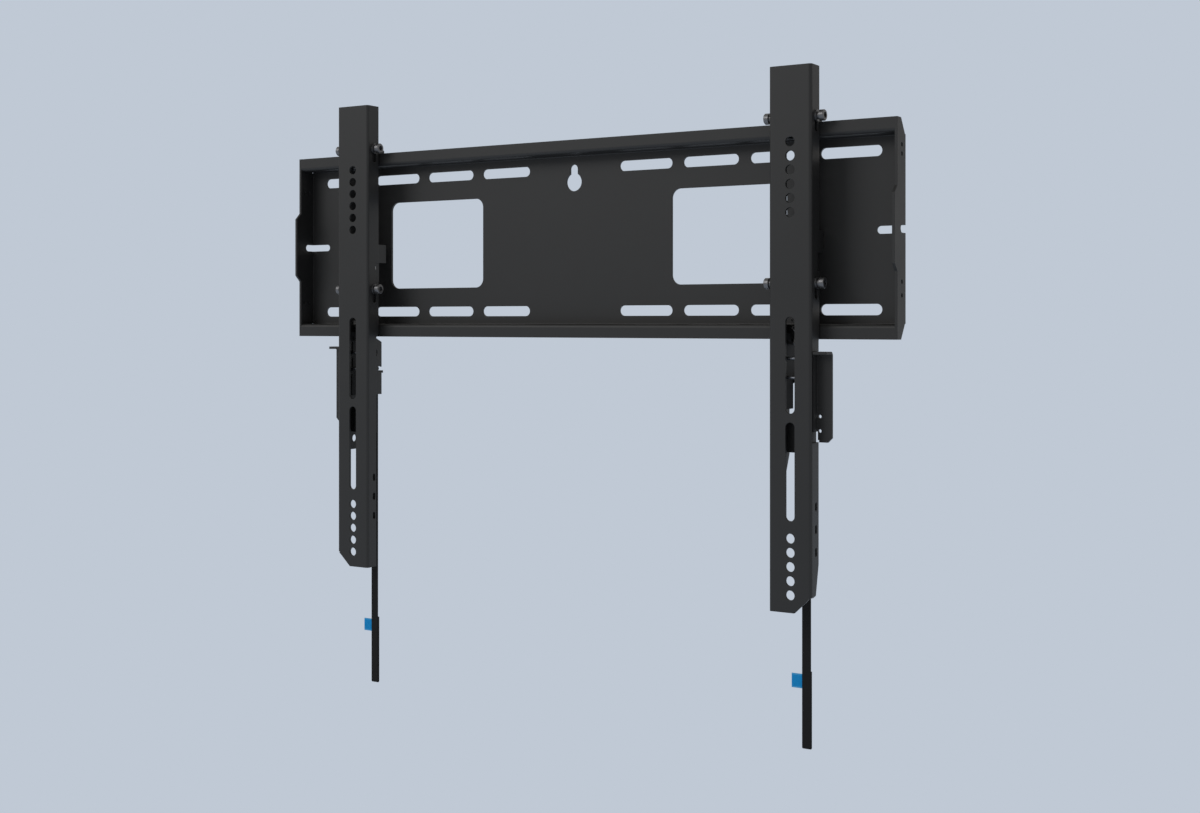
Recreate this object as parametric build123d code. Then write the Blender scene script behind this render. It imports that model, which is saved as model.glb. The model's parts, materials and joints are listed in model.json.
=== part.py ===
from build123d import *
import math
import os

os.makedirs("parts", exist_ok=True)

# All sizes are in millimetres. X runs along the wall, Y into the wall, Z up.
# The origin is the middle of the wall plate, on the face that lies on the wall.

# Sheet steel
SHEET = 2.5
THIN_SHEET = 2.0
FOLD = 3.5
FOLD_MID = FOLD - SHEET / 2
END_FOLD = 2.5
FACE_GAP = 0.3
CUT_OVER = 1.0

# Wall plate
PLATE_HALF_X = 342.0
LIP_EDGE_Z = 96.25
LIP_FRONT_Y = -22.0
LIP_BACK_Y = LIP_FRONT_Y + SHEET
LONG_FOLD_Z = 85.5
END_FOLD_Z = 82.6
END_CORNER_Y = -13.0
END_BUMP_Y = -28.5
END_BUMP_Z = 30.5
SLOT_ROW_Z = 70.0
SLOT_LENGTH = 58.5
SLOT_HEIGHT = 10.0
SLOT_LAST_IN = 50.5
SLOT_PITCH = 70.0
SLOTS_EACH_SIDE = 4
WINDOW_X = (110.0, 229.5)
WINDOW_HALF_Z = 45.5
WINDOW_CORNER = 9.0
KEYHOLE_Z = 57.0
KEYHOLE_R = 9.0
KEYHOLE_SLOT = 9.0
KEYHOLE_TOP_Z = 69.8
END_SLOT_IN = 26.5
END_SLOT_Y = -14.0
END_SLOT_HEIGHT = 7.0
SMALL_HOLE_R = 2.0
DIMPLE_DEEP = 1.2
LEFT_END_HOLES = ((-9.6, 60.5), (-16.6, 60.5), (-9.6, -59.6), (-16.6, -59.6))
RIGHT_END_HOLES = ((-11.0, 73.0), (-11.0, 65.0), (-11.0, -46.0), (-11.0, -58.0))

# Arms that carry the screen; each is drawn about its own middle, outer side at +X
ARM_X = 250.0
ARM_HALF = 20.4
ARM_FOLD = 2.8
ARM_FRONT_Y = -41.5
ARM_BACK_Y = -24.0
ARM_TOP_Z = 145.3
HOLE_PITCH = 12.5
HOLE_R = 4.4
TOP_HOLE_Z = 78.15
TOP_HOLES = 6
SCREEN_HOLE_SPAN = 400.0
BOTTOM_HOLES = 5
ARM_BOTTOM_Z = -337.3
ARM_CORNER_X = 16.5
ARM_CORNER_Z = 15.5
SLOT_A_Z = (-161.8, -76.4)
SLOT_B_Z = (-256.6, -169.5)
FRONT_SLOT_WIDTH = 8.8
SIDE_SLOT_Z = (-243.5, -263.4, -283.6)
SIDE_SLOT_BACK = 10.2
SIDE_SLOT_SIZE = (8.0, 4.0)
NOTCH_Z = (-36.0, -19.0)
NOTCH_Y = -29.0
OUTER_LOW_Y = -25.5
INNER_LOW_Y = -27.6
LOW_FLANGE_Z = -97.0
TAPER_FROM_Z = -295.0
TAPER_BEND = (-32.0, -324.0)
CUTOUT_Z = (-187.0, -107.0)
CUTOUT_Y = -39.4

# Adjusting screws
SCREW_Z = (100.6, -46.6)
SCREW_Y = -30.8
SCREW_R = 2.9
SCREW_END = 1.5
SCREW_SLOT_HALF = SCREW_R + 0.35
SCREW_SLOT_DROP = 14.0
WASHER_R = 5.2
WASHER_THICK = 1.6
WAIST_R = 3.3
WAIST_LENGTH = 2.4
HEAD_R = 5.0
HEAD_LENGTH = 4.5
HEAD_CHAMFER = 0.6
SOCKET_ACROSS = 5.0
SOCKET_DEEP = 3.0

# Hook bracket inside each arm, with two cheeks of different depth
CHEEK_OUT = ARM_HALF - SHEET - FACE_GAP
CHEEK_IN = CHEEK_OUT - SHEET
BRACKET_FRONT_Y = ARM_FRONT_Y + SHEET + FACE_GAP
ARM_LINE_Y = ARM_BACK_Y - FACE_GAP
BEFORE_LIP_Y = LIP_FRONT_Y - FACE_GAP
BEHIND_LIP_Y = LIP_BACK_Y + FACE_GAP
BRACKET_TOP_Z = 128.0
BRACKET_BOTTOM_Z = -216.0
BRACKET_FOOT_CORNER = 4.0
HOOK_BACK_Y = -11.3
HOOK_NOSE_Z = 87.0
HOOK_SLOPE = ((ARM_LINE_Y, 107.0), (-17.0, 103.0), (HOOK_BACK_Y, 100.0))
WEB_UPPER_Z = (88.0, BRACKET_TOP_Z)
WEB_MIDDLE_Z = (-66.0, 8.0)
WEB_LOWER_Z = (-197.0, -169.0)
WEB_LOWER_Y = -28.5
DEEP_Y = -15.0
DEEP_Z = 79.5
LOW_DEEP_Z = -98.0
LOW_DEEP_Y = -9.0
LOW_DEEP_END_Z = -200.0
LOW_DEEP_CORNER_Y = -16.0
BRACKET_HOLE = (-20.0, -204.5)
BRACKET_HOLE_R = 4.0
EAR_Y = -8.2
EAR_Z = (-18.6, 0.6)
STEP_Y = -20.0
STEP_Z = -39.0
HOUSING_Y = -15.6
HOUSING_Z = (-157.0, -102.0)
HOUSING_TOP_Z = -98.0
FOOT_Y = -23.7
FOOT_Z = -197.0
FOOT_CORNER = (-30.0, -203.5)
LOCK_HOLES = ((-26.6, -113.3, 4.4), (-18.2, -130.4, 3.4))

# Latch that catches behind the bottom lip
LATCH_HALF = 9.0
LATCH_FRONT_Y = -38.2
LATCH_TOP_Z = -91.0
LATCH_NOSE_Y = BEHIND_LIP_Y
LATCH_NOSE_BACK_Y = LATCH_NOSE_Y + SHEET
LATCH_NOSE_Z = (-101.0, -87.0)
LATCH_BACK_Y = -14.0
LATCH_BACK_Z = -98.0
LATCH_FRONT_BOTTOM_Z = -136.0
LATCH_LEG_Y = (-34.0, -18.9)
LATCH_BOTTOM_Z = -158.4
LATCH_TRAVEL = 10.0
LUG_Y = (-19.0, -2.8)
LUG_Z = (-135.0, -132.5)
GUIDE_PIN_R = 1.5
GUIDE_PIN_Y = -34.5
GUIDE_PIN_Z = (-113.3, -130.3)
GUIDE_SLOT_HALF = GUIDE_PIN_R + 0.4

# Return spring and its two anchors
ANCHOR_Y = -29.7
ANCHOR_Z = -24.0
ANCHOR_R = 2.0
BUSH_R = 4.6
SPRING_BAR_Z = (-101.0, -98.5)
SPRING_BAR_X = 7.0
SPRING_BAR_HALF_Y = 1.5
SPRING_WIRE_R = 0.5
SPRING_COIL_R = 3.3
SPRING_RING_R = 3.1
SPRING_NECK = 2.6
SPRING_NECK_Y = 1.0
SPRING_COIL_Z = (-88.0, -36.0)
SPRING_TURNS = 7
COIL_POINTS = 8
RING_POINTS = 7
RING_STEP = 40
UPPER_RING_START = 30
LOWER_RING_START = -90
WIRE_SIDES = 6

# Kickstand that folds out beside the arm towards the wall
STAND_WALL_Y = -36.2
STAND_WALL_Z = (-177.5, -107.6)
WING_Y = (-28.0, -25.5)
WING_OUT = 34.0
WING_Z = (-187.0, -107.0)
WING_LIP_Y = -39.5
WING_BEND = 4.0
WING_CORNER = 4.0
WING_RELIEF_X = 1.5
WING_RELIEF_Z = 2.0
STAND_PIN_Y = -32.0
STAND_PIN_Z = -174.0
STAND_PIN_R = 2.0
STAND_PIN_FIT = 0.08
STAND_PIN_HEAD_R = 3.2
STAND_PIN_HEAD = 1.2
STAND_HOLES_Z = (-164.2, -177.0)
STAND_HOLES_X = 22.6
STAND_HOLES_R = 1.6

# Pull straps
STRAP_WIDTH = 8.6
STRAP_THICK = 1.2
STRAP_Y = -5.5
STRAP_BOTTOM_Z = -465.6
STRAP_DOUBLE_Z = -395.8
STRAP_SLOT_SPARE = 0.7
STRAP_STOP = 3.8
TAB_Z = (-411.5, -398.6)
TAB_OUT = 10.7
TAB_THICK = 0.8


def block(x, y, z):
    """Box between two X, two Y and two Z values."""
    middle = Pos((x[0] + x[1]) / 2, (y[0] + y[1]) / 2, (z[0] + z[1]) / 2)
    return middle * Box(x[1] - x[0], y[1] - y[0], z[1] - z[0])


def side_shape(outline, x):
    """Solid between two X values whose (Y, Z) outline is given."""
    face = make_face(Polyline(*outline, close=True))
    return Pos(x[0], 0, 0) * extrude(Plane.YZ * face, amount=x[1] - x[0])


def cross_pin(y, z, radius, x):
    """Round bar along X between two X values."""
    middle = Pos((x[0] + x[1]) / 2, y, z)
    return middle * Rot(0, 90, 0) * Cylinder(radius, x[1] - x[0])


def cross_slot(y, z_low, z_high, width, x):
    """Round-ended upright slot cut along X; z_low and z_high are its ends."""
    face = Pos(y, (z_low + z_high) / 2) * SlotOverall(z_high - z_low, width, rotation=90)
    return Pos(x[0], 0, 0) * extrude(Plane.YZ * face, amount=x[1] - x[0])


def front_hole(x, z, radius, y):
    """Round bar along Y between two Y values."""
    middle = Pos(x, (y[0] + y[1]) / 2, z)
    return middle * Rot(90, 0, 0) * Cylinder(radius, y[1] - y[0])


def front_slot(x, z, length, width, turn, y):
    """Round-ended slot cut along Y, lying down at turn 0 and upright at turn 90."""
    face = Pos(x, z) * SlotOverall(length, width, rotation=turn)
    return Pos(0, y[1], 0) * extrude(Plane.XZ * face, amount=y[1] - y[0])


def handed(shape, hand):
    """The shape itself for hand +1 and its mirror image for hand -1."""
    return shape if hand > 0 else mirror(shape, about=Plane.YZ)


def plate_hat_section():
    """Long folded profile: web on the wall, two folds forward, lips turned outwards."""
    lip_y = LIP_FRONT_Y + SHEET / 2
    fold_z = LONG_FOLD_Z - SHEET / 2
    path = FilletPolyline(
        (lip_y, LIP_EDGE_Z),
        (lip_y, fold_z),
        (-SHEET / 2, fold_z),
        (-SHEET / 2, -fold_z),
        (lip_y, -fold_z),
        (lip_y, -LIP_EDGE_Z),
        radius=FOLD_MID,
    )
    return trace(path, line_width=SHEET)


def plate_end():
    """Folded end of the wall plate at +X, with its forward bump."""
    bump_foot = END_BUMP_Z + (LIP_FRONT_Y - END_BUMP_Y)
    upper = [
        (0, END_FOLD_Z),
        (-FOLD, END_FOLD_Z),
        (END_CORNER_Y, LIP_EDGE_Z),
        (LIP_FRONT_Y, LIP_EDGE_Z),
        (LIP_FRONT_Y, bump_foot),
        (END_BUMP_Y, END_BUMP_Z),
    ]
    lower = [(y, -z) for y, z in reversed(upper)]
    return side_shape(upper + lower, (PLATE_HALF_X - SHEET, PLATE_HALF_X))


def wall_plate():
    """Wide plate that screws to the wall and carries both arms."""
    hat_half = PLATE_HALF_X - SHEET
    plate = extrude(Plane.YZ * plate_hat_section(), amount=hat_half, both=True)
    end = plate_end()
    plate = plate + end + mirror(end, about=Plane.YZ)
    ends = plate.edges().filter_by(Axis.Z)
    ends = ends.filter_by(lambda e: abs(e.center().X) > hat_half and e.center().Y > -CUT_OVER)
    ends = ends.filter_by(lambda e: abs(e.center().X) > PLATE_HALF_X - FACE_GAP)
    plate = fillet(ends, END_FOLD)
    through = (-SHEET - CUT_OVER, CUT_OVER)
    for side in (-1, 1):
        for row in (-1, 1):
            for step in range(SLOTS_EACH_SIDE):
                x = side * (PLATE_HALF_X - SLOT_LAST_IN - step * SLOT_PITCH)
                plate -= front_slot(x, row * SLOT_ROW_Z, SLOT_LENGTH, SLOT_HEIGHT, 0, through)
        plate -= wall_plate_window(side, through)
        plate -= wall_plate_end_slot(side)
    plate -= front_hole(0, KEYHOLE_Z, KEYHOLE_R, through)
    neck = KEYHOLE_TOP_Z - KEYHOLE_Z
    plate -= front_slot(0, KEYHOLE_Z + neck / 2, neck + KEYHOLE_SLOT, KEYHOLE_SLOT, 90, through)
    inside = (-hat_half - DIMPLE_DEEP, -hat_half + CUT_OVER)
    for y, z in LEFT_END_HOLES:
        plate -= cross_pin(y, z, SMALL_HOLE_R, inside)
    outside = (PLATE_HALF_X - DIMPLE_DEEP, PLATE_HALF_X + CUT_OVER)
    for y, z in RIGHT_END_HOLES:
        plate -= cross_pin(y, z, SMALL_HOLE_R, outside)
    return plate


def wall_plate_window(side, through):
    """Large rounded window in the web on one side of the middle."""
    middle = side * (WINDOW_X[0] + WINDOW_X[1]) / 2
    wide = WINDOW_X[1] - WINDOW_X[0]
    face = Pos(middle, 0) * RectangleRounded(wide, 2 * WINDOW_HALF_Z, WINDOW_CORNER)
    return Pos(0, through[1], 0) * extrude(Plane.XZ * face, amount=through[1] - through[0])


def wall_plate_end_slot(side):
    """Slot that starts in the web and runs round the fold onto the end."""
    half = END_SLOT_HEIGHT / 2
    start = PLATE_HALF_X - END_SLOT_IN + half
    stop = END_SLOT_Y + half
    outside = PLATE_HALF_X + CUT_OVER
    cut = block((start, outside), (stop, CUT_OVER), (-half, half))
    cut += front_hole(start, 0, half, (stop, CUT_OVER))
    cut += cross_pin(stop, 0, half, (PLATE_HALF_X - SHEET - CUT_OVER, outside))
    return handed(cut, side)


def arm_section():
    """Folded channel seen from above, open towards the wall."""
    mid = ARM_HALF - SHEET / 2
    front = ARM_FRONT_Y + SHEET / 2
    fold = ARM_FOLD - SHEET / 2
    path = FilletPolyline(
        (-mid, ARM_BACK_Y), (-mid, front), (mid, front), (mid, ARM_BACK_Y), radius=fold
    )
    return trace(path, line_width=SHEET)


def arm_notch():
    """Notch in the back edge of the flange at +X, in front of the spring anchor."""
    behind = ARM_BACK_Y + CUT_OVER
    return block((ARM_HALF - ARM_FOLD, ARM_HALF + CUT_OVER), (NOTCH_Y, behind), NOTCH_Z)


def arm_outer_cut():
    """Everything that the outer flange lacks behind its stepped back edge."""
    behind = ARM_BACK_Y + CUT_OVER
    slope = OUTER_LOW_Y - ARM_BACK_Y
    low = [
        (behind, LOW_FLANGE_Z - slope + CUT_OVER),
        (OUTER_LOW_Y, LOW_FLANGE_Z),
        (OUTER_LOW_Y, TAPER_FROM_Z),
        TAPER_BEND,
        (ARM_FRONT_Y - CUT_OVER, ARM_BOTTOM_Z + ARM_CORNER_Z - CUT_OVER),
        (behind, ARM_BOTTOM_Z - CUT_OVER),
    ]
    x = (ARM_HALF - ARM_FOLD, ARM_HALF + CUT_OVER)
    return side_shape(low, x) + block(x, (CUTOUT_Y, behind), CUTOUT_Z)


def arm_inner_cut():
    """Everything that the inner flange lacks behind its lower back edge."""
    behind = ARM_BACK_Y + CUT_OVER
    slope = INNER_LOW_Y - ARM_BACK_Y
    low = [
        (behind, LOW_FLANGE_Z - slope + CUT_OVER),
        (INNER_LOW_Y, LOW_FLANGE_Z),
        (INNER_LOW_Y, ARM_BOTTOM_Z - CUT_OVER),
        (behind, ARM_BOTTOM_Z - CUT_OVER),
    ]
    return side_shape(low, (-ARM_HALF - CUT_OVER, -ARM_HALF + ARM_FOLD))


def arm(hand):
    """Tall channel that the screen bolts to, with its cut-out on the outer side."""
    body = extrude(arm_section(), amount=ARM_TOP_Z - ARM_BOTTOM_Z)
    body = Pos(0, 0, ARM_BOTTOM_Z) * body
    body -= arm_outer_cut()
    body -= arm_inner_cut()
    corner = Polyline(
        (ARM_HALF + CUT_OVER, ARM_BOTTOM_Z - CUT_OVER),
        (ARM_HALF - ARM_CORNER_X - CUT_OVER, ARM_BOTTOM_Z - CUT_OVER),
        (ARM_HALF + CUT_OVER, ARM_BOTTOM_Z + ARM_CORNER_Z + CUT_OVER),
        close=True,
    )
    wedge = extrude(Plane.XZ * make_face(corner), amount=-ARM_FRONT_Y + CUT_OVER)
    body = handed(body - wedge, hand) - arm_notch()
    front = (ARM_FRONT_Y - CUT_OVER, ARM_FRONT_Y + SHEET + CUT_OVER)
    for number in range(TOP_HOLES):
        body -= front_hole(0, TOP_HOLE_Z - number * HOLE_PITCH, HOLE_R, front)
    for number in range(BOTTOM_HOLES):
        z = TOP_HOLE_Z - SCREEN_HOLE_SPAN + number * HOLE_PITCH
        body -= front_hole(0, z, HOLE_R, front)
    for low, high in (SLOT_A_Z, SLOT_B_Z):
        body -= front_slot(0, (low + high) / 2, high - low, FRONT_SLOT_WIDTH, 90, front)
    return body - arm_side_cuts()


def arm_side_cuts():
    """Holes and slots through the two flanges of an arm."""
    across = (-ARM_HALF - CUT_OVER, ARM_HALF + CUT_OVER)
    tall, deep = SIDE_SLOT_SIZE
    y = ARM_FRONT_Y + SIDE_SLOT_BACK
    cuts = []
    for z in SIDE_SLOT_Z:
        cuts.append(cross_slot(y, z - tall / 2, z + tall / 2, deep, across))
    for z in SCREW_Z:
        low = z - SCREW_SLOT_DROP
        cuts.append(
            cross_slot(SCREW_Y, low, z + SCREW_SLOT_HALF, 2 * SCREW_SLOT_HALF, across)
        )
    return cuts


def hook_outline():
    """Upper part of both cheeks: top, hook and the slot for the top lip."""
    return [
        (BRACKET_FRONT_Y, BRACKET_TOP_Z),
        (ARM_LINE_Y, BRACKET_TOP_Z),
        *HOOK_SLOPE,
        (HOOK_BACK_Y, HOOK_NOSE_Z),
        (BEHIND_LIP_Y + CUT_OVER, HOOK_NOSE_Z),
        (BEHIND_LIP_Y, HOOK_NOSE_Z + CUT_OVER),
        (BEHIND_LIP_Y, LIP_EDGE_Z),
        (BEFORE_LIP_Y, LIP_EDGE_Z),
    ]


def foot_outline():
    """Lower front end of both cheeks."""
    return [
        (BRACKET_FRONT_Y + BRACKET_FOOT_CORNER, BRACKET_BOTTOM_Z),
        (BRACKET_FRONT_Y, BRACKET_BOTTOM_Z + BRACKET_FOOT_CORNER),
    ]


def deep_cheek():
    """Cheek at -X, which fills the hollow of the wall plate."""
    outline = hook_outline() + [
        (BEFORE_LIP_Y, DEEP_Z),
        (DEEP_Y, DEEP_Z),
        (DEEP_Y, -DEEP_Z),
        (BEFORE_LIP_Y, -DEEP_Z),
        (BEFORE_LIP_Y, LOW_DEEP_Z),
        (DEEP_Y, LOW_DEEP_Z),
        (DEEP_Y, HOUSING_Z[0]),
        (LOW_DEEP_Y, HOUSING_Z[0]),
        (LOW_DEEP_Y, LOW_DEEP_END_Z),
        (LOW_DEEP_CORNER_Y, BRACKET_BOTTOM_Z),
    ]
    x = (-CHEEK_OUT, -CHEEK_IN)
    cheek = side_shape(outline + foot_outline(), x)
    return cheek - cross_pin(BRACKET_HOLE[0], BRACKET_HOLE[1], BRACKET_HOLE_R, x)


def shallow_cheek(hand):
    """Cheek at +X with the ear; only the left arm's one carries the lock housing."""
    outline = hook_outline() + [
        (BEFORE_LIP_Y, EAR_Z[1]),
        (EAR_Y, EAR_Z[1]),
        (EAR_Y, EAR_Z[0]),
        (STEP_Y, EAR_Z[0]),
        (STEP_Y, STEP_Z),
        (ARM_LINE_Y, STEP_Z),
    ]
    foot_y = ARM_LINE_Y
    if hand < 0:
        outline += [
            (ARM_LINE_Y, HOUSING_TOP_Z),
            (HOUSING_Y, HOUSING_Z[1]),
            (HOUSING_Y, HOUSING_Z[0]),
            (FOOT_Y, HOUSING_Z[0]),
        ]
        foot_y = FOOT_Y
    outline += [(foot_y, FOOT_Z), FOOT_CORNER, (FOOT_CORNER[0], BRACKET_BOTTOM_Z)]
    return side_shape(outline + foot_outline(), (CHEEK_IN, CHEEK_OUT))


def lock_cuts(hand):
    """Padlock holes through the cheek on the inner side of the arm; one opens at the edge."""
    x = sorted((-hand * (CHEEK_IN - CUT_OVER), -hand * (CHEEK_OUT + CUT_OVER)))
    return [cross_pin(y, z, radius, x) for y, z, radius in LOCK_HOLES]


def hook_bracket(hand):
    """Folded carriage that hangs on the top lip and guides the latch."""
    wide = (-CHEEK_OUT, CHEEK_OUT)
    body = deep_cheek() + shallow_cheek(hand)
    for front, z in (
        (BRACKET_FRONT_Y, WEB_UPPER_Z), (BRACKET_FRONT_Y, WEB_MIDDLE_Z), (WEB_LOWER_Y, WEB_LOWER_Z)
    ):
        body += block(wide, (front, front + SHEET), z)
    folds = body.edges().filter_by(Axis.Z)
    folds = folds.filter_by(lambda e: e.center().Y < BRACKET_FRONT_Y + FACE_GAP / 2)
    folds = folds.filter_by(lambda e: abs(e.center().X) > CHEEK_OUT - FACE_GAP / 2)
    body = fillet(folds, THIN_SHEET)
    across = (-ARM_HALF, ARM_HALF)
    for z in SCREW_Z:
        body -= cross_pin(SCREW_Y, z, SCREW_R, across)
    for z in GUIDE_PIN_Z:
        body -= cross_pin(GUIDE_PIN_Y, z, GUIDE_PIN_R, across)
    body -= cross_pin(ANCHOR_Y, ANCHOR_Z, ANCHOR_R, (-ARM_HALF, 0))
    body -= cross_pin(ANCHOR_Y, ANCHOR_Z, BUSH_R, (0, ARM_HALF))
    body -= handed(cross_pin(STAND_PIN_Y, STAND_PIN_Z, STAND_PIN_R, (0, ARM_HALF)), hand)
    return body - lock_cuts(hand)


def latch():
    """Sprung slide: a wall, a nose behind the lip and a lug for the strap."""
    wall_outline = [
        (LATCH_FRONT_Y, LATCH_TOP_Z),
        (BEFORE_LIP_Y - FACE_GAP, LATCH_TOP_Z),
        (BEFORE_LIP_Y - FACE_GAP, LATCH_BACK_Z),
        (LATCH_BACK_Y, LATCH_BACK_Z),
        (LATCH_BACK_Y, LUG_Z[0]),
        (LATCH_LEG_Y[1], LUG_Z[0] - CUT_OVER),
        (LATCH_LEG_Y[1], LATCH_BOTTOM_Z),
        (LATCH_LEG_Y[0], LATCH_BOTTOM_Z),
        (LATCH_LEG_Y[0], LATCH_FRONT_BOTTOM_Z),
        (LATCH_FRONT_Y, LATCH_FRONT_BOTTOM_Z),
    ]
    wall_x = (-LATCH_HALF, THIN_SHEET - LATCH_HALF)
    across = (-LATCH_HALF, LATCH_HALF)
    body = side_shape(wall_outline, wall_x)
    body += block(across, (LATCH_NOSE_Y, LATCH_NOSE_BACK_Y), LATCH_NOSE_Z)
    body += block(across, LUG_Y, LUG_Z)
    bar_y = (ANCHOR_Y - SPRING_BAR_HALF_Y, ANCHOR_Y + SPRING_BAR_HALF_Y)
    body += block((-LATCH_HALF, SPRING_BAR_X), bar_y, SPRING_BAR_Z)
    for z in GUIDE_PIN_Z:
        top = z + LATCH_TRAVEL + GUIDE_SLOT_HALF
        body -= cross_slot(GUIDE_PIN_Y, z - GUIDE_SLOT_HALF, top, 2 * GUIDE_SLOT_HALF, across)
    half = STRAP_WIDTH / 2 + STRAP_SLOT_SPARE
    deep = STRAP_THICK / 2 + STRAP_SLOT_SPARE
    hole_z = (LUG_Z[0] - CUT_OVER, LUG_Z[1] + CUT_OVER)
    return body - block((-half, half), (STRAP_Y - deep, STRAP_Y + deep), hole_z)


def guide_pin(z):
    """Round cross pin that the latch slides on."""
    return cross_pin(GUIDE_PIN_Y, z, GUIDE_PIN_R, (-CHEEK_OUT, CHEEK_OUT))


def spring_anchor():
    """Cross pin with a bush in the +X cheek that holds the upper end of the return spring."""
    pin = cross_pin(ANCHOR_Y, ANCHOR_Z, ANCHOR_R, (-CHEEK_OUT, CHEEK_IN))
    return pin + cross_pin(ANCHOR_Y, ANCHOR_Z, BUSH_R, (CHEEK_IN, CHEEK_OUT))


def spring_ring(z, upwards, first_turn):
    """Points of the open ring at one end of the spring, about a bar at height z."""
    points = []
    for step in range(RING_POINTS):
        turn = math.radians(first_turn + upwards * RING_STEP * step)
        y = ANCHOR_Y + SPRING_RING_R * math.sin(turn)
        points.append((0.0, y, z - upwards * SPRING_RING_R * math.cos(turn)))
    return points


def spring_path():
    """Points along the spring wire: ring, neck, coil, neck, ring."""
    bar_z = (SPRING_BAR_Z[0] + SPRING_BAR_Z[1]) / 2
    reach = SPRING_RING_R + SPRING_NECK
    neck_y = ANCHOR_Y - SPRING_NECK_Y
    points = spring_ring(ANCHOR_Z, 1, UPPER_RING_START)
    points.append((0.0, neck_y, ANCHOR_Z - reach))
    steps = SPRING_TURNS * COIL_POINTS
    low, high = SPRING_COIL_Z
    for step in range(steps + 1):
        turn = -math.pi / 2 + math.tau * step / COIL_POINTS
        points.append((
            SPRING_COIL_R * math.cos(turn),
            ANCHOR_Y + SPRING_COIL_R * math.sin(turn),
            high + (low - high) * step / steps,
        ))
    points.append((0.0, neck_y, bar_z + reach))
    return points + spring_ring(bar_z, -1, LOWER_RING_START)


def latch_spring():
    """Coil spring that pulls the latch up."""
    path = Spline(*spring_path())
    start = Plane(path @ 0, z_dir=path % 0)
    return sweep(start * RegularPolygon(SPRING_WIRE_R, WIRE_SIDES), path=path)


def adjusting_screw(side, z):
    """Socket-head screw that locks the arm to the hook bracket on one side."""
    outside = ARM_HALF + WASHER_THICK
    neck = outside + WAIST_LENGTH
    tip = neck + HEAD_LENGTH
    screw = cross_pin(SCREW_Y, z, SCREW_R, (CHEEK_IN - SCREW_END, outside))
    screw += cross_pin(SCREW_Y, z, WAIST_R, (outside, neck))
    head = cross_pin(SCREW_Y, z, HEAD_R, (neck, tip))
    rim = head.edges().filter_by(GeomType.CIRCLE).sort_by(Axis.X)[-1]
    screw += chamfer(rim, HEAD_CHAMFER)
    hexagon = RegularPolygon(SOCKET_ACROSS / 2, 6, major_radius=False)
    socket = extrude(Plane.YZ * hexagon, amount=SOCKET_DEEP + CUT_OVER)
    screw -= Pos(tip - SOCKET_DEEP, SCREW_Y, z) * socket
    return handed(screw, side)


def screw_washer(side, z):
    """Flat washer under one screw head."""
    x = (ARM_HALF, ARM_HALF + WASHER_THICK)
    disc = cross_pin(SCREW_Y, z, WASHER_R, x) - cross_pin(SCREW_Y, z, SCREW_R, x)
    return handed(disc, side)


def kickstand_wing():
    """Wing beside the arm, bent forward at its top, with a cut corner and a relief."""
    mid_y = (WING_Y[0] + WING_Y[1]) / 2
    top = WING_Z[1] - SHEET / 2
    bend = WING_BEND - SHEET / 2
    path = FilletPolyline((WING_LIP_Y, top), (mid_y, top), (mid_y, WING_Z[0]), radius=bend)
    beside_arm = ARM_HALF + FACE_GAP
    wing = extrude(Plane.YZ * trace(path, line_width=SHEET), amount=WING_OUT - beside_arm)
    wing = Pos(beside_arm, 0, 0) * wing
    behind = (WING_Y[0] - CUT_OVER, WING_Y[1] + CUT_OVER)
    relief_x = (beside_arm - CUT_OVER, ARM_HALF + WING_RELIEF_X)
    wing -= block(relief_x, behind, (WING_Z[0] - CUT_OVER, WING_Z[0] + WING_RELIEF_Z))
    corner = Polyline(
        (WING_OUT + CUT_OVER, WING_Z[0] - CUT_OVER),
        (WING_OUT - WING_CORNER - CUT_OVER, WING_Z[0] - CUT_OVER),
        (WING_OUT + CUT_OVER, WING_Z[0] + WING_CORNER + CUT_OVER),
        close=True,
    )
    wedge = extrude(Plane.XZ * make_face(corner), amount=behind[1] - behind[0])
    return wing - Pos(0, behind[1], 0) * wedge


def kickstand():
    """Folded leg: a wall in the arm's cut-out and a wing beside it."""
    wall_x = (ARM_HALF - SHEET, ARM_HALF)
    body = block(wall_x, (STAND_WALL_Y, WING_Y[1]), STAND_WALL_Z)
    bend_z = (STAND_WALL_Z[0], WING_Z[1] - WING_BEND)
    body += block((ARM_HALF, ARM_HALF + FACE_GAP), WING_Y, bend_z)
    body += kickstand_wing()
    through = (WING_Y[0] - CUT_OVER, WING_Y[1] + CUT_OVER)
    for z in STAND_HOLES_Z:
        body -= front_hole(STAND_HOLES_X, z, STAND_HOLES_R, through)
    hole = STAND_PIN_R + STAND_PIN_FIT
    return body - cross_pin(STAND_PIN_Y, STAND_PIN_Z, hole, (0, ARM_HALF + CUT_OVER))


def kickstand_pin():
    """Short rivet through the outer cheek that the kickstand turns on."""
    head = (CHEEK_IN - STAND_PIN_HEAD, CHEEK_IN)
    pin = cross_pin(STAND_PIN_Y, STAND_PIN_Z, STAND_PIN_R, (CHEEK_IN, ARM_HALF))
    return pin + cross_pin(STAND_PIN_Y, STAND_PIN_Z, STAND_PIN_HEAD_R, head)


def strap_tab_block():
    """Cloth tab that sticks out to -X of the strap."""
    y = STRAP_Y + STRAP_THICK / 2
    x = (-STRAP_WIDTH / 2 - TAB_OUT, STRAP_WIDTH / 4)
    return block(x, (y, y + TAB_THICK), TAB_Z)


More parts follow.
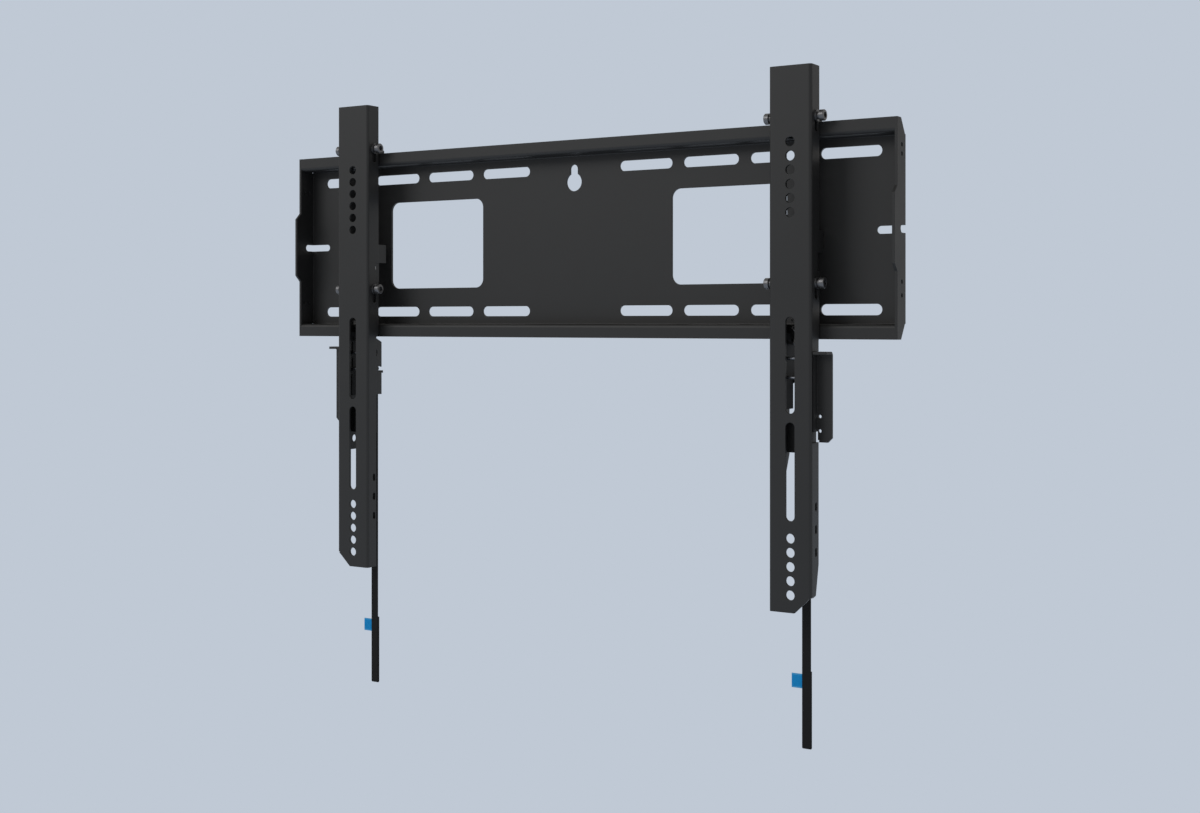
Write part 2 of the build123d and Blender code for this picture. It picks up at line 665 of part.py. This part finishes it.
def strap():
    """Flat webbing strap with a thick stop on top and a doubled lower end."""
    x = (-STRAP_WIDTH / 2, STRAP_WIDTH / 2)
    front = STRAP_Y - STRAP_THICK / 2
    back = STRAP_Y + STRAP_THICK / 2
    body = block(x, (front, back), (STRAP_BOTTOM_Z, LUG_Z[1] + STRAP_STOP))
    stop_y = (STRAP_Y - STRAP_STOP / 2, STRAP_Y + STRAP_STOP / 2)
    body += block(x, stop_y, (LUG_Z[1], LUG_Z[1] + STRAP_STOP))
    doubled = (front, back + TAB_THICK + STRAP_THICK)
    body += block(x, doubled, (STRAP_BOTTOM_Z, STRAP_DOUBLE_Z))
    return body - strap_tab_block()


def build_side(name, hand):
    """Every piece of one arm; hand is +1 for the right arm and -1 for the left."""
    pieces = {
        "arm": arm(hand),
        "hook_bracket": hook_bracket(hand),
        "latch": latch(),
        "latch_upper_pin": guide_pin(GUIDE_PIN_Z[0]),
        "latch_lower_pin": guide_pin(GUIDE_PIN_Z[1]),
        "latch_spring": latch_spring(),
        "spring_anchor": spring_anchor(),
        "kickstand": handed(kickstand(), hand),
        "kickstand_pin": handed(kickstand_pin(), hand),
        "strap": strap(),
        "strap_tab": strap_tab_block(),
    }
    for place, side in (("outer", hand), ("inner", -hand)):
        for height, z in zip(("upper", "lower"), SCREW_Z):
            pieces[f"{height}_{place}_screw"] = adjusting_screw(side, z)
            pieces[f"{height}_{place}_washer"] = screw_washer(side, z)
    for node, piece in pieces.items():
        export_step(Pos(hand * ARM_X, 0, 0) * piece, f"parts/{name}_{node}.step")


export_step(wall_plate(), "parts/wall_plate.step")
build_side("right", 1)
build_side("left", -1)
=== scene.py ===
import json
import math

import bmesh
import bpy
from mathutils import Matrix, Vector


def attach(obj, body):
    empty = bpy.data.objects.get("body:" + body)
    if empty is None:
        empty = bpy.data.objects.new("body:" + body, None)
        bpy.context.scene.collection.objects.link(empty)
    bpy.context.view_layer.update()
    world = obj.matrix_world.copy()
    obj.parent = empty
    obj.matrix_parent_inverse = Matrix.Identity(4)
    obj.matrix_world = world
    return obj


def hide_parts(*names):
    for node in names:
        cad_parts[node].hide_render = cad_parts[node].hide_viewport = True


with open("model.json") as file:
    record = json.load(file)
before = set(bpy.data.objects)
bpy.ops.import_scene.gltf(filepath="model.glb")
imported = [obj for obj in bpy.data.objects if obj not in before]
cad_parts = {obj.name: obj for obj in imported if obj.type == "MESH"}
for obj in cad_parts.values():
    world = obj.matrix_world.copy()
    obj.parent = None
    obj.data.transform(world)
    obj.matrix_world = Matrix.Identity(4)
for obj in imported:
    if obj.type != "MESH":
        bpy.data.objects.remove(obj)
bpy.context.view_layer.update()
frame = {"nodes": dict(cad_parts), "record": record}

# Camera, in metres and degrees, as the photo was taken
CAMERA_PLACE = (0.8196, -1.29349, -0.08111)
CAMERA_TURN = 31.445
CAMERA_LENS = 46.52
CAMERA_SENSOR = 36.0
CAMERA_SHIFT_Y = -0.0703

# Colours are scene-linear
BACKDROP = (0.527, 0.584, 0.665)
BLACK_COAT = (0.0125, 0.0125, 0.0125)
BLACK_SCREW = (0.16, 0.16, 0.165)
# Darker copy of the black coat for the latch: painted shade for its place deep inside the arm
# channel
PAINTED_SHADE_COAT = (0.004, 0.004, 0.004)
ZINC = (0.60, 0.61, 0.63)
# Darker copy of the zinc for the latch pins: painted shade inside the arm channel
PAINTED_SHADE_ZINC = (0.20, 0.21, 0.23)
WEBBING = (0.011, 0.011, 0.0113)
THREAD = (0.022, 0.022, 0.023)
TAB_BLUE = (0.008, 0.24, 0.56)
TAB_EDGE = (0.07, 0.38, 0.72)

# Pull straps, in metres, about the middle of each arm
ARM_X = {"right": 0.25, "left": -0.25}
STRAP_WIDTH = 0.0086
STRAP_THICK = 0.0012
STRAP_SOFT_EDGE = 0.0004
STRAP_Y = -0.0055
STRAP_TOP = -0.1325
STRAP_FOLD = -0.4640
ROUTE_HEIGHTS = (STRAP_TOP, -0.18, -0.24, -0.30, -0.36, -0.42, STRAP_FOLD)
DOUBLE_TOP = -0.3958
LAYER_STEP = 0.0020
ROLL_RADIUS = 0.0019
ROLL_SOFT_EDGE = 0.0005
ROLL_END_SCALE = 0.86
STITCH_HEIGHTS = (-0.3972, -0.4130, -0.4600)
STITCHES_ACROSS = 4
STITCH_FIRST_X = -0.0030
STITCH_PITCH = 0.0020
STITCH_HALF_SIZE = (0.0008, 0.00015, 0.0002)

# Cloth tabs
TAB_X = (-0.0150, 0.0021)
TAB_Z = (-0.4115, -0.3986)
TAB_Y = -0.0045
TAB_LAYER = 0.00032
TAB_HALF_GAP = 0.00006
TAB_RIM = 0.0014
TAB_RIM_BLUR = 0.0003

# Surroundings and light
WORLD_LIGHT = (0.87, 0.855, 0.835)
WORLD_STRENGTH = 0.56
LIGHT_AIM = (0.0, -0.02, -0.1)
KEY_PLACE = (-1.6, -2.4, 1.6)
KEY_SIZE = (1.8, 1.4)
KEY_POWER = 24.0
FLOOR_HALF = 12.0
FLOOR_Z = -1.1


def link(tree, out_socket, in_socket):
    """Joins two sockets of a node tree."""
    tree.links.new(out_socket, in_socket)


def new_material(name):
    """Material with an empty tree, its output and its main shader."""
    material = bpy.data.materials.new(name)
    material.use_nodes = True
    tree = material.node_tree
    tree.nodes.clear()
    output = tree.nodes.new("ShaderNodeOutputMaterial")
    shader = tree.nodes.new("ShaderNodeBsdfPrincipled")
    link(tree, shader.outputs["BSDF"], output.inputs["Surface"])
    return material, tree, shader


def noise(tree, coords, scale, detail=2.0):
    """Noise texture fed by object coordinates."""
    texture = tree.nodes.new("ShaderNodeTexNoise")
    texture.inputs["Scale"].default_value = scale
    texture.inputs["Detail"].default_value = detail
    link(tree, coords.outputs["Object"], texture.inputs["Vector"])
    return texture


def ramp_value(tree, factor, low, high):
    """Maps a 0..1 socket onto low..high."""
    node = tree.nodes.new("ShaderNodeMapRange")
    node.inputs["To Min"].default_value = low
    node.inputs["To Max"].default_value = high
    link(tree, factor, node.inputs["Value"])
    return node.outputs["Result"]


def mix_colour(tree, factor, first, second):
    """Mixes two colours by a socket."""
    node = tree.nodes.new("ShaderNodeMix")
    node.data_type = "RGBA"
    node.inputs["A"].default_value = (*first, 1.0)
    node.inputs["B"].default_value = (*second, 1.0)
    link(tree, factor, node.inputs["Factor"])
    return node.outputs["Result"]


def coat_material(name, colour, rough, edge, grain, metal=0.0):
    """Coated steel: soft edges, fine grain and faint unevenness."""
    material, tree, shader = new_material(name)
    coords = tree.nodes.new("ShaderNodeTexCoord")
    fine = noise(tree, coords, 2600.0, 1.0)
    broad = noise(tree, coords, 28.0, 3.0)
    lighter = tuple(min(1.0, c * 1.25) for c in colour)
    darker = tuple(c * 0.85 for c in colour)
    link(tree, mix_colour(tree, broad.outputs["Fac"], darker, lighter),
         shader.inputs["Base Color"])
    link(tree, ramp_value(tree, broad.outputs["Fac"], rough - 0.05, rough + 0.05),
         shader.inputs["Roughness"])
    shader.inputs["Metallic"].default_value = metal
    bevel = tree.nodes.new("ShaderNodeBevel")
    bevel.samples = 4
    bevel.inputs["Radius"].default_value = edge
    bump = tree.nodes.new("ShaderNodeBump")
    bump.inputs["Strength"].default_value = grain
    bump.inputs["Distance"].default_value = 0.0002
    link(tree, fine.outputs["Fac"], bump.inputs["Height"])
    link(tree, bevel.outputs["Normal"], bump.inputs["Normal"])
    link(tree, bump.outputs["Normal"], shader.inputs["Normal"])
    return material


def zinc_material(name, colour):
    """Zinc of the pins, bright or darkened as painted shade."""
    material, tree, shader = new_material(name)
    coords = tree.nodes.new("ShaderNodeTexCoord")
    broad = noise(tree, coords, 240.0, 2.0)
    darker = tuple(c * 0.8 for c in colour)
    link(tree, mix_colour(tree, broad.outputs["Fac"], darker, colour),
         shader.inputs["Base Color"])
    shader.inputs["Metallic"].default_value = 1.0
    link(tree, ramp_value(tree, broad.outputs["Fac"], 0.28, 0.42),
         shader.inputs["Roughness"])
    bevel = tree.nodes.new("ShaderNodeBevel")
    bevel.samples = 4
    bevel.inputs["Radius"].default_value = 0.00025
    link(tree, bevel.outputs["Normal"], shader.inputs["Normal"])
    return material


def cloth_material(name, colour, thread, edge_colour=None):
    """Woven cloth: two sets of threads as bump, with an optional pale outer edge."""
    material, tree, shader = new_material(name)
    coords = tree.nodes.new("ShaderNodeTexCoord")
    waves = []
    for direction in ("X", "Z"):
        wave = tree.nodes.new("ShaderNodeTexWave")
        wave.bands_direction = direction
        wave.inputs["Scale"].default_value = thread
        wave.inputs["Distortion"].default_value = 0.3
        link(tree, coords.outputs["Object"], wave.inputs["Vector"])
        waves.append(wave)
    both = tree.nodes.new("ShaderNodeMath")
    both.operation = "MULTIPLY"
    for index, wave in enumerate(waves):
        link(tree, wave.outputs["Fac"], both.inputs[index])
    lighter = tuple(min(1.0, c * 1.8) for c in colour)
    woven = mix_colour(tree, both.outputs["Value"], colour, lighter)
    if edge_colour is None:
        link(tree, woven, shader.inputs["Base Color"])
    else:
        split = tree.nodes.new("ShaderNodeSeparateXYZ")
        link(tree, coords.outputs["Object"], split.inputs["Vector"])
        middle_z = tree.nodes.new("ShaderNodeMath")
        middle_z.operation = "ADD"
        middle_z.inputs[1].default_value = -(TAB_Z[0] + TAB_Z[1]) / 2
        link(tree, split.outputs["Z"], middle_z.inputs[0])
        off_middle = tree.nodes.new("ShaderNodeMath")
        off_middle.operation = "ABSOLUTE"
        link(tree, middle_z.outputs["Value"], off_middle.inputs[0])
        near_edge = tree.nodes.new("ShaderNodeMapRange")
        half_tall = (TAB_Z[1] - TAB_Z[0]) / 2
        near_edge.inputs["From Min"].default_value = half_tall - TAB_RIM
        near_edge.inputs["From Max"].default_value = half_tall - TAB_RIM + TAB_RIM_BLUR
        link(tree, off_middle.outputs["Value"], near_edge.inputs["Value"])
        edged = tree.nodes.new("ShaderNodeMix")
        edged.data_type = "RGBA"
        edged.inputs["B"].default_value = (*edge_colour, 1.0)
        link(tree, near_edge.outputs["Result"], edged.inputs["Factor"])
        link(tree, woven, edged.inputs["A"])
        link(tree, edged.outputs["Result"], shader.inputs["Base Color"])
    shader.inputs["Roughness"].default_value = 0.85
    shader.inputs["Specular IOR Level"].default_value = 0.2
    bump = tree.nodes.new("ShaderNodeBump")
    bump.inputs["Strength"].default_value = 0.6
    bump.inputs["Distance"].default_value = 0.0003
    link(tree, both.outputs["Value"], bump.inputs["Height"])
    link(tree, bump.outputs["Normal"], shader.inputs["Normal"])
    return material


def put_material(obj, material):
    """Gives an object one material in place of those it has."""
    obj.data.materials.clear()
    obj.data.materials.append(material)


def mesh_object(name, bm, smooth=False):
    """Object from a bmesh, with outward faces."""
    bmesh.ops.recalc_face_normals(bm, faces=bm.faces[:])
    mesh = bpy.data.meshes.new(name)
    bm.to_mesh(mesh)
    bm.free()
    for polygon in mesh.polygons:
        polygon.use_smooth = smooth
    obj = bpy.data.objects.new(name, mesh)
    bpy.context.scene.collection.objects.link(obj)
    return obj


def route_line(name, points):
    """Points along a smooth route, read from its own spline."""
    data = bpy.data.curves.new(name, "CURVE")
    data.dimensions = "3D"
    data.resolution_u = 24
    spline = data.splines.new("NURBS")
    spline.points.add(len(points) - 1)
    for item, point in zip(spline.points, points):
        item.co = (*point, 1.0)
    spline.order_u = 3
    spline.use_endpoint_u = True
    holder = bpy.data.objects.new(name, data)
    mesh = bpy.data.meshes.new_from_object(holder)
    line = [tuple(vertex.co) for vertex in mesh.vertices]
    bpy.data.objects.remove(holder)
    bpy.data.meshes.remove(mesh)
    return line


def ribbon(name, line):
    """Flat webbing with soft edges that follows a line of points."""
    bm = bmesh.new()
    half = STRAP_WIDTH / 2
    thick = STRAP_THICK / 2
    edge = STRAP_SOFT_EDGE
    section = [
        (-half, -thick * 0.4), (-half + edge, -thick), (half - edge, -thick),
        (half, -thick * 0.4), (half, thick * 0.4), (half - edge, thick),
        (-half + edge, thick), (-half, thick * 0.4),
    ]
    across = Vector((1.0, 0.0, 0.0))
    rows = []
    for index, point in enumerate(line):
        before = Vector(line[max(index - 1, 0)])
        after = Vector(line[min(index + 1, len(line) - 1)])
        out = (after - before).normalized().cross(across).normalized()
        rows.append([bm.verts.new(Vector(point) + across * a + out * b) for a, b in section])
    for top, bottom in zip(rows, rows[1:]):
        for index in range(len(section)):
            other = (index + 1) % len(section)
            bm.faces.new((top[index], top[other], bottom[other], bottom[index]))
    bm.faces.new(rows[0][::-1])
    bm.faces.new(rows[-1])
    return mesh_object(name, bm)


def fold_line(x):
    """Line of the strap's end: a half turn at the bottom, then up behind the front layer."""
    radius = LAYER_STEP / 2
    points = []
    for step in range(13):
        turn = math.pi * step / 12
        y = STRAP_Y + radius - radius * math.cos(turn)
        points.append((x, y, STRAP_FOLD - radius * math.sin(turn)))
    count = 30
    for step in range(1, count + 1):
        z = STRAP_FOLD + (DOUBLE_TOP - STRAP_FOLD) * step / count
        points.append((x, STRAP_Y + LAYER_STEP, z))
    return points


def stitches(name, x):
    """Rows of thread over the doubled end, on the front and on the back."""
    bm = bmesh.new()
    faces_y = (STRAP_Y - STRAP_THICK / 2, STRAP_Y + LAYER_STEP + STRAP_THICK / 2)
    half_size = Vector(STITCH_HALF_SIZE)
    for z in STITCH_HEIGHTS:
        for y in faces_y:
            for step in range(STITCHES_ACROSS):
                bead = bmesh.ops.create_icosphere(bm, subdivisions=1, radius=1.0)["verts"]
                place = Vector((x + STITCH_FIRST_X + STITCH_PITCH * step, y, z))
                for vert in bead:
                    vert.co = place + vert.co * half_size
    return mesh_object(name, bm, True)


def strap_stop(name, x):
    """Webbing rolled once on itself above the lug, so that it cannot slip through."""
    bm = bmesh.new()
    turns = 28
    rings = []
    half = STRAP_WIDTH / 2
    full = half - ROLL_SOFT_EDGE
    middle_z = STRAP_TOP + ROLL_RADIUS
    for side, scale in ((-half, ROLL_END_SCALE), (-full, 1.0), (full, 1.0), (half, ROLL_END_SCALE)):
        ring = []
        radius = ROLL_RADIUS * scale
        for step in range(turns):
            turn = math.tau * step / turns
            y = STRAP_Y + radius * math.cos(turn)
            ring.append(bm.verts.new((x + side, y, middle_z + radius * math.sin(turn))))
        rings.append(ring)
    for first, second in zip(rings, rings[1:]):
        for index in range(turns):
            other = (index + 1) % turns
            bm.faces.new((first[index], first[other], second[other], second[index]))
    bm.faces.new(rings[0])
    bm.faces.new(rings[-1][::-1])
    return mesh_object(name, bm)


def cloth_tab(name, x):
    """Cloth folded once at its outer end, both layers sewn into the strap."""
    bm = bmesh.new()
    outer = TAB_HALF_GAP + TAB_LAYER
    left = x + TAB_X[0] + outer
    right = x + TAB_X[1]
    outline = [(right, -outer)]
    for step in range(17):
        turn = math.pi * step / 16
        outline.append((left - outer * math.sin(turn), -outer * math.cos(turn)))
    outline += [(right, outer), (right, TAB_HALF_GAP)]
    for step in range(9):
        turn = math.pi * step / 8
        outline.append((left - TAB_HALF_GAP * math.sin(turn), TAB_HALF_GAP * math.cos(turn)))
    outline.append((right, -TAB_HALF_GAP))
    rows = []
    steps = 12
    for step in range(steps + 1):
        z = TAB_Z[0] + (TAB_Z[1] - TAB_Z[0]) * step / steps
        rows.append([bm.verts.new((a, TAB_Y + b, z)) for a, b in outline])
    for first, second in zip(rows, rows[1:]):
        for index in range(len(outline)):
            other = (index + 1) % len(outline)
            bm.faces.new((first[index], first[other], second[other], second[index]))
    bm.faces.new(rows[0])
    bm.faces.new(rows[-1][::-1])
    return mesh_object(name, bm)


def add_strap(side, webbing, thread, tab_cloth):
    """Pull strap that hangs from the latch's lug, with its sewn end and its tab."""
    x = ARM_X[side]
    body = f"{side}_latch"
    line = route_line(f"{side}_route", [(x, STRAP_Y, z) for z in ROUTE_HEIGHTS])
    main = ribbon(f"{side}_strap_webbing", line)
    hem = ribbon(f"{side}_strap_fold", fold_line(x))
    stop = strap_stop(f"{side}_strap_stop", x)
    sewing = stitches(f"{side}_strap_stitches", x)
    tab = cloth_tab(f"{side}_cloth_tab", x)
    for piece, material, slot in (
        (main, webbing, "webbing"), (hem, webbing, "webbing"), (stop, webbing, "webbing"),
        (sewing, thread, "webbing"), (tab, tab_cloth, "tab_cloth"),
    ):
        put_material(piece, material)
        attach(piece, body)
    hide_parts(f"{side}_strap")
    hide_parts(f"{side}_strap_tab")


coat = coat_material("black_steel", BLACK_COAT, 0.5, 0.0006, 0.25)
# The latch gets a darker copy of the black coat: painted shade, as it sits deep inside the arm
# channel
painted_shade_coat = coat_material("latch_painted_shade", PAINTED_SHADE_COAT, 0.75, 0.0004, 0.1)
screw_coat = coat_material("blackened_screw", BLACK_SCREW, 0.36, 0.0003, 0.05, 0.9)
zinc = zinc_material("zinc", ZINC)
# The latch pins get a darker copy of the zinc: painted shade inside the arm channel
pin_zinc_painted_shade = zinc_material("pin_zinc_painted_shade", PAINTED_SHADE_ZINC)
webbing = cloth_material("webbing", WEBBING, 700.0)
thread = cloth_material("thread", THREAD, 2400.0)
tab_cloth = cloth_material("tab_cloth", TAB_BLUE, 900.0, TAB_EDGE)
by_slot = {
    "black_steel": coat, "blackened_screw": screw_coat, "zinc": zinc,
    "webbing": webbing, "tab_cloth": tab_cloth,
}
# The latch and its pins take the darker copies: painted shade inside the arm channels
by_piece = {"latch": painted_shade_coat, "latch_upper_pin": pin_zinc_painted_shade, "latch_lower_pin": pin_zinc_painted_shade}
for part in frame["record"]["subparts"]:
    piece = part["node"].split("_", 1)[1]
    material = by_piece.get(piece, by_slot[part["material_slot"]])
    put_material(frame["nodes"][part["node"]], material)
for side in ARM_X:
    add_strap(side, webbing, thread, tab_cloth)


def area_light(name, place, aim, size, power):
    """Large soft light that faces a point."""
    data = bpy.data.lights.new(name, "AREA")
    data.shape = "RECTANGLE"
    data.size = size[0]
    data.size_y = size[1]
    data.energy = power
    obj = bpy.data.objects.new(name, data)
    bpy.context.scene.collection.objects.link(obj)
    obj.location = place
    obj.rotation_euler = (Vector(aim) - Vector(place)).to_track_quat("-Z", "Y").to_euler()
    return obj


def set_world():
    """Pale even surroundings; the camera sees the backdrop colour itself."""
    world = bpy.data.worlds.new("studio")
    bpy.context.scene.world = world
    world.use_nodes = True
    tree = world.node_tree
    tree.nodes.clear()
    output = tree.nodes.new("ShaderNodeOutputWorld")
    seen = tree.nodes.new("ShaderNodeBackground")
    seen.inputs["Color"].default_value = (*BACKDROP, 1.0)
    lit = tree.nodes.new("ShaderNodeBackground")
    lit.inputs["Color"].default_value = (*WORLD_LIGHT, 1.0)
    lit.inputs["Strength"].default_value = WORLD_STRENGTH
    path = tree.nodes.new("ShaderNodeLightPath")
    mix = tree.nodes.new("ShaderNodeMixShader")
    link(tree, path.outputs["Is Camera Ray"], mix.inputs["Fac"])
    link(tree, lit.outputs["Background"], mix.inputs[1])
    link(tree, seen.outputs["Background"], mix.inputs[2])
    link(tree, mix.outputs["Shader"], output.inputs["Surface"])


def add_floor():
    """Plain pale floor well below the bracket, close to the backdrop's own colour."""
    mesh = bpy.data.meshes.new("floor")
    signs = ((-1, -1), (1, -1), (1, 1), (-1, 1))
    corners = [(a * FLOOR_HALF, b * FLOOR_HALF, FLOOR_Z) for a, b in signs]
    mesh.from_pydata(corners, [], [(0, 1, 2, 3)])
    floor = bpy.data.objects.new("floor", mesh)
    bpy.context.scene.collection.objects.link(floor)
    material = bpy.data.materials.new("floor")
    material.use_nodes = True
    tree = material.node_tree
    tree.nodes.clear()
    output = tree.nodes.new("ShaderNodeOutputMaterial")
    glow = tree.nodes.new("ShaderNodeEmission")
    glow.inputs["Color"].default_value = (*BACKDROP, 1.0)
    link(tree, glow.outputs["Emission"], output.inputs["Surface"])
    put_material(floor, material)


def add_camera():
    """Camera with the place, lens and shift named above."""
    data = bpy.data.cameras.new("camera")
    data.sensor_fit = "HORIZONTAL"
    data.sensor_width = CAMERA_SENSOR
    data.lens = CAMERA_LENS
    data.shift_y = CAMERA_SHIFT_Y
    camera = bpy.data.objects.new("camera", data)
    bpy.context.scene.collection.objects.link(camera)
    camera.location = CAMERA_PLACE
    camera.rotation_euler = (math.radians(90.0), 0.0, math.radians(CAMERA_TURN))
    bpy.context.scene.camera = camera


set_world()
add_floor()
add_camera()
area_light("key", KEY_PLACE, LIGHT_AIM, KEY_SIZE, KEY_POWER)
bpy.context.scene.view_settings.view_transform = "Standard"
